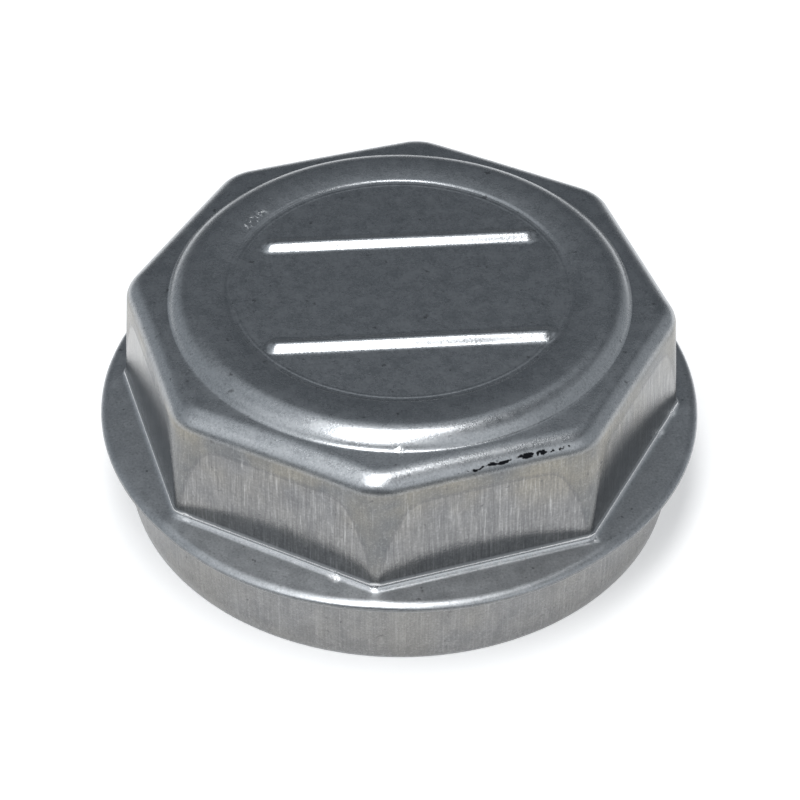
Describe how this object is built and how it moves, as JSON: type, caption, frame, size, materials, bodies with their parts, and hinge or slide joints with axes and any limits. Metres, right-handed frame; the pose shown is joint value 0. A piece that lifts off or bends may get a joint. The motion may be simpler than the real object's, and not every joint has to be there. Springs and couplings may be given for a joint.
{
  "type": "hub cap",
  "caption": "Pressed steel hub cap with a round press-in skirt, a folded flange, an octagonal head and a raised ring around a ribbed dish.",
  "frame": {"origin": "centre of the open rim that the cap stands on", "axes": "+Z along the cap's axis from the open rim to the closed head; two opposite corners of the octagon lie on the Y axis"},
  "size_m": [0.11, 0.11, 0.0432],
  "materials": {
    "zinc_plate": "zinc-plated sheet steel, satin, with draw marks"
  },
  "bodies": {
    "root": {"hub_cap": "zinc_plate"}
  },
  "joints": []
}
